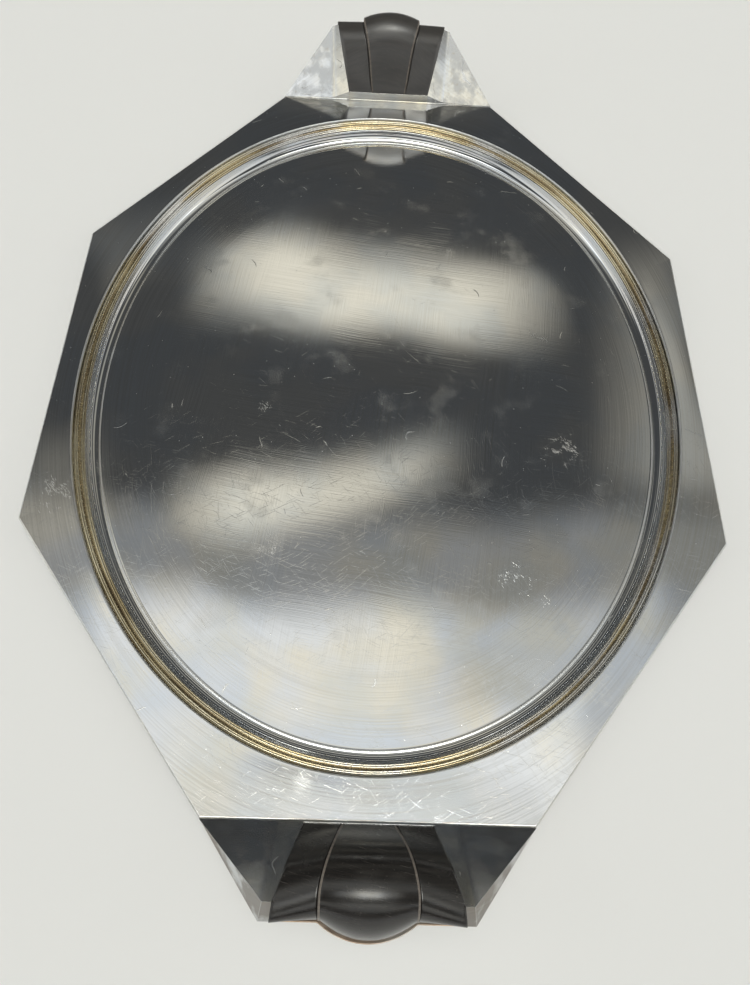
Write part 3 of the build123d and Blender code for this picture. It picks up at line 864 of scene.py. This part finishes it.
def brass_material(name, bright, deep, silver_share, rough_low, rough_high):
    """Brass streaked along the border, with worn silver left on silver_share of it."""
    material, tree, shader = shader_tree(name)
    where = millimetres(tree)
    stretch, _ = oval(tree, where, *BRASS_STREAK)
    height = node(tree, "SeparateXYZ", {0: where}).outputs["Z"]
    raised = node(tree, "CombineXYZ", {2: times(tree, height, STREAK_SHEAR)}).outputs[0]
    streaks = noise_at(tree, vector(tree, "ADD", stretch, raised), 1.0)
    patches = noise_at(tree, oval(tree, where, *BRASS_PATCH)[0], 2.0)
    pits = grain(tree, where, BRASS_PIT, 3)
    tone = added(tree, times(tree, streaks, 0.6), times(tree, patches, 0.4))
    brass = mixed(tree, ramp(tree, tone, 0.42, 0.60), bright, deep)
    middle = 0.66 - 0.34 * silver_share
    colour = mixed(tree, ramp(tree, patches, middle - 0.08, middle + 0.08), brass, SILVER)
    rough = spread_over(tree, pits, rough_low, rough_high)
    shader.inputs["Metallic"].default_value = 1.0
    relief = added(tree, times(tree, streaks, 0.5), times(tree, pits, 0.2))
    finish(tree, shader, colour, rough, relief, 0.1)
    return material


def wood_material(name, dark, light, rough_low, rough_high, index):
    """Waxed ebonised wood with a fine grain that runs across the handle."""
    material, tree, shader = shader_tree(name)
    where = millimetres(tree)
    pores = noise_at(tree, stretched(tree, where, *PORES), 3.0)
    cloud = grain(tree, where, WAX_CLOUD, 3)
    dust = ramp(tree, grain(tree, where, DUST_SIZE, 2), 0.66, 0.74)
    rubs = strokes(tree, where, *RUBS)
    colour = mixed(tree, ramp(tree, pores, 0.35, 0.7), dark, light)
    colour = mixed(tree, times(tree, added(tree, dust, rubs), 0.08), colour, WOOD_DUST)
    rough = added(tree, spread_over(tree, cloud, rough_low, rough_high), times(tree, rubs, 0.1))
    shader.inputs["IOR"].default_value = index
    finish(tree, shader, colour, rough, pores, 0.25)
    return material


silver_plate = tray_material("silver_plate", 0.06)
silver_edge = silver_material("silver_edge", 0.34, SILVER, SILVER_DULL, 0.3)
handle_silver = silver_material("handle_silver", 0.06, SILVER, SILVER_GREY, 0.85)
handle_edge = silver_material("handle_edge", 0.22, SILVER, SILVER_DULL, 0.2)
handle_strip = silver_material("handle_strip", 0.10, STRIP_CREAM, SILVER_DULL, 0.5)
handle_wall = silver_material("handle_wall", 0.34, WALL_GREY, WALL_BROWN, 0.7)
reed_metal = brass_material("reed_metal", CREAM, GOLD, 0.30, 0.12, 0.24)
hollow_brass = brass_material("hollow_brass", GOLD, BRONZE, 0.0, 0.16, 0.32)
groove_dirt = brass_material("groove_dirt", UMBER, UMBER_DARK, 0.0, 0.40, 0.60)
copper_edge = brass_material("copper_edge", COPPER, COPPER_DEEP, 0.1, 0.5, 0.65)
ebony = wood_material("ebony", EBONY, EBONY_PORE, 0.20, 0.28, 1.6)
# rougher wax on the back grip; its lighter colour is a painted sheen
ebony_dull_painted_sheen = wood_material("ebony_dull_painted_sheen", EBONY_PAINTED_SHEEN, PORE_PAINTED_SHEEN, 0.34, 0.42, 2.0)
# its lighter colour is partly wear and partly a painted glint
ebony_worn_painted_glint = wood_material("ebony_worn_painted_glint", EBONY_WORN_AND_GLINT, PORE_WORN_AND_GLINT, 0.35, 0.5, 1.5)
screw_steel = silver_material("screw_steel", 0.25, SILVER, WALL_GREY, 0.6)

# ---- pieces ----
tray = build_tray([silver_plate, silver_edge])
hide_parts("tray_plate")
border = build_border([reed_metal, hollow_brass, groove_dirt])
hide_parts("reeded_border")
# the back grip gets the ebony with the painted sheen
for end, end_name, wood_skin in ((1, "back", ebony_dull_painted_sheen), (-1, "front", ebony)):
    bracket_metals = [handle_silver, handle_edge, handle_wall, handle_strip]
    bracket = build_bracket(end, f"{end_name}_bracket_skin", bracket_metals)
    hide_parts(f"{end_name}_bracket")
    plate = build_underplate(end, f"{end_name}_underplate_skin", [handle_silver, copper_edge])
    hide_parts(f"{end_name}_underplate")
    centre = build_centre(end, f"{end_name}_grip_centre_skin", [wood_skin, ebony_worn_painted_glint])
    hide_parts(f"{end_name}_grip_centre")
    for side, side_name in ((-1, "left"), (1, "right")):
        wing = build_side(end, side, f"{end_name}_grip_{side_name}_skin", [wood_skin])
        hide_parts(f"{end_name}_grip_{side_name}")
    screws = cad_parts[f"{end_name}_grip_screws"]
    screws.data.materials.clear()
    screws.data.materials.append(screw_steel)

# ---- floor ----
FLOOR_HALF = 20.0  # metres
PALE = (0.78, 0.78, 0.77, 1)  # of the floor and of the backdrop
floor_mesh = bpy.data.meshes.new("floor")
signs = ((-1, -1), (1, -1), (1, 1), (-1, 1))
floor_mesh.from_pydata([(x * FLOOR_HALF, y * FLOOR_HALF, 0) for x, y in signs], [], [(0, 1, 2, 3)])
floor_object = bpy.data.objects.new("floor", floor_mesh)
bpy.context.scene.collection.objects.link(floor_object)
floor_material, _, floor_shader = shader_tree("floor")
floor_shader.inputs["Base Color"].default_value = PALE
floor_shader.inputs["Roughness"].default_value = 0.9
floor_shader.inputs["Specular IOR Level"].default_value = 0.1
floor_mesh.materials.append(floor_material)

# ---- world: soft boxes round the tray ----
# A direction is given by its angle from overhead towards +Y, and by its angle out of that plane
# towards +X, both in degrees.
COOL, WARM = (0.93, 0.97, 1.0, 1), (1.0, 0.965, 0.83, 1)
ROOM = (0.064, 0.067, 0.069)
LAMP_STRENGTH, LAMP_ANGLE = 0.6, 43.0  # watts a square metre, and degrees across
# a soft box: its two angles towards +Y, its two towards +X, how soft each pair of edges is, its level
OVERHEAD, OVERHEAD_EDGE = (0, 15.5, -60, 60, 3, 6, 1.0), (14, 23, -60, 60, 2, 4, 0.22)
CREST_WIDE, CREST_CORE = (-18, -4.5, -30, 30, 1.5, 7, 2.2), (-18, -4.5, -13, 13, 1.5, 6, 7.0)
BACK_STRIP, HORN_BOX = (-41, -34, -24, 24, 1.2, 7, 1.8), (-56, -42, -44, 44, 1.2, 5, 0.98)
LOWER_STRIP, LOWER_LEAN = (24.2, 28.2, -13.0, 5.5, 1.8, 4.5, 0.86), -0.2
UPPER_STRIP, UPPER_LEAN = (38.4, 43.8, -11.0, 12.0, 1.7, 5.0, 0.84), 0.05
CORNER_RIGHT, CORNER_LEFT = (25, 46, 22, 36, 3, 5, 0.34), (43, 50, -30, -18, 2, 4, 0.10)
CORNER_LOW = (18, 28, -36, -22, 3, 3, 0.12)
FAR_BOX = (58, 67, -50, 50, 2, 4, 0.30)
# levels that change with the angle: its two values, and the two levels where they aren't 0 and 1
OVERHEAD_RIGHT = (2.0, 11.0, 0.88, 0.56)  # the overhead box fades to the right
NEAR_RIGHT, NEAR_ROWS = (4.0, 12.0, 0.0, 0.42), (9.0, 4.0)  # but less so in its first rows
LOWER_RIGHT = (-9.0, 6.0, 1.0, 0.72)  # the lower strip fades to the right
SIDE_BOXES, SIDE_ROWS, SIDE_LEVEL = (48, 55), (40, 30), 0.85
FLAG_ROWS, FLAG_SIDES = (70, 100, 2), (72, 62)  # the rows are two angles and how soft they are
HORIZON = (20.0, 8.0)  # between these heights in degrees the backdrop starts to show in metal
DRIFT_SIZE, DRIFT = 0.3, 0.9  # waviness of the boxes: its size, and degrees either way
TINT_SIZE = 0.10


def studio_light():
    """World of a large overhead box, narrow strips and side boxes, with a pale backdrop round it."""
    world = bpy.data.worlds.new("studio")
    bpy.context.scene.world = world
    world.use_nodes = True
    dome = world.node_tree
    direction = node(dome, "TexCoord").outputs["Generated"]
    split = node(dome, "SeparateXYZ", {0: direction})
    in_degrees = 180 / pi
    toward = times(dome, maths(dome, "ARCTAN2", split.outputs["Y"], split.outputs["Z"]), in_degrees)
    aside = times(dome, maths(dome, "ARCSINE", split.outputs["X"]), in_degrees)
    rise = times(dome, maths(dome, "ARCSINE", split.outputs["Z"]), in_degrees)
    drift = grain(dome, direction, DRIFT_SIZE, 1.0)
    toward = added(dome, toward, spread_over(dome, drift, -DRIFT, DRIFT))

    def box(first, last, left, right, soft, end_soft, level, lean=0.0):
        leaning = added(dome, toward, times(dome, aside, lean))
        rows, sides = band(dome, leaning, first, last, soft), band(dome, aside, left, right, end_soft)
        return times(dome, rows, sides, level)

    to_right = ramp(dome, aside, *OVERHEAD_RIGHT)
    near_right = times(dome, ramp(dome, toward, *NEAR_ROWS), ramp(dome, aside, *NEAR_RIGHT))
    overhead = times(dome, box(*OVERHEAD), added(dome, to_right, near_right))
    overhead = added(dome, overhead, box(*OVERHEAD_EDGE))
    crest_strip = added(dome, box(*CREST_WIDE), box(*CREST_CORE))
    overhead = added(dome, overhead, crest_strip, box(*BACK_STRIP), box(*HORN_BOX))
    lower_strip = box(*LOWER_STRIP, lean=LOWER_LEAN)
    lower_strip = times(dome, lower_strip, ramp(dome, aside, *LOWER_RIGHT))
    upper_strip = box(*UPPER_STRIP, lean=UPPER_LEAN)
    corner_boxes = added(dome, box(*CORNER_RIGHT), box(*CORNER_LEFT), box(*CORNER_LOW))
    outward = maths(dome, "ABSOLUTE", aside)
    side_boxes = times(dome, ramp(dome, outward, *SIDE_BOXES), ramp(dome, toward, *SIDE_ROWS))
    side_boxes = times(dome, side_boxes, SIDE_LEVEL)
    warm_light = added(dome, lower_strip, upper_strip, corner_boxes, box(*FAR_BOX))
    tint = ramp(dome, grain(dome, direction, TINT_SIZE, 2.0), 0.42, 0.58)
    colour = vector(dome, "SCALE", mixed(dome, tint, COOL, WARM), added(dome, overhead, side_boxes))
    colour = vector(dome, "ADD", colour, vector(dome, "SCALE", WARM[:3], warm_light))
    colour = vector(dome, "ADD", colour, ROOM)
    # the pale backdrop adds no light: the camera sees it, and metal mirrors it low down, but for a flag
    flag = times(dome, band(dome, toward, *FLAG_ROWS), ramp(dome, outward, *FLAG_SIDES))
    low_down = times(dome, ramp(dome, rise, *HORIZON), maths(dome, "SUBTRACT", 1.0, flag))
    light_path = node(dome, "LightPath").outputs
    mirrored = maths(dome, "MAXIMUM", light_path["Is Glossy Ray"], light_path["Is Transmission Ray"])
    seen = maths(dome, "MAXIMUM", light_path["Is Camera Ray"], times(dome, mirrored, low_down))
    dome.links.new(mixed(dome, seen, colour, PALE), dome.nodes["Background"].inputs["Color"])


studio_light()
lamp_data = bpy.data.lights.new("overhead", "SUN")
lamp_data.angle = radians(LAMP_ANGLE)
lamp_data.energy = LAMP_STRENGTH
lamp = bpy.data.objects.new("overhead", lamp_data)
bpy.context.scene.collection.objects.link(lamp)
lamp.visible_glossy = False

# ---- camera at the photograph's viewing angle ----
CAMERA_AT = (-9.2, -235.6, 355.0)  # millimetres
CAMERA_YAW, CAMERA_PITCH, CAMERA_ROLL = radians(2.837), radians(65.082), radians(4.76)
FOCAL_PIXELS, IMAGE_HEIGHT = 700.0, 985.0
SENSOR, NEAR_CLIP = 36.0, 0.01  # millimetres, and metres
level = cos(CAMERA_PITCH)
ahead = Vector((sin(CAMERA_YAW) * level, cos(CAMERA_YAW) * level, -sin(CAMERA_PITCH)))
level_right = ahead.cross(Vector((0, 0, 1))).normalized()
level_up = level_right.cross(ahead)
right = level_right * cos(CAMERA_ROLL) + level_up * sin(CAMERA_ROLL)
up = level_up * cos(CAMERA_ROLL) - level_right * sin(CAMERA_ROLL)
camera_data = bpy.data.cameras.new("camera")
camera = bpy.data.objects.new("camera", camera_data)
bpy.context.scene.collection.objects.link(camera)
axes = Matrix((right, up, -ahead)).transposed()
camera.matrix_world = Matrix.Translation(Vector(CAMERA_AT) * MM) @ axes.to_4x4()
camera_data.sensor_width = SENSOR
camera_data.lens = FOCAL_PIXELS * SENSOR / IMAGE_HEIGHT
camera_data.clip_start = NEAR_CLIP
bpy.context.scene.camera = camera
bpy.context.scene.view_settings.view_transform = "Standard"
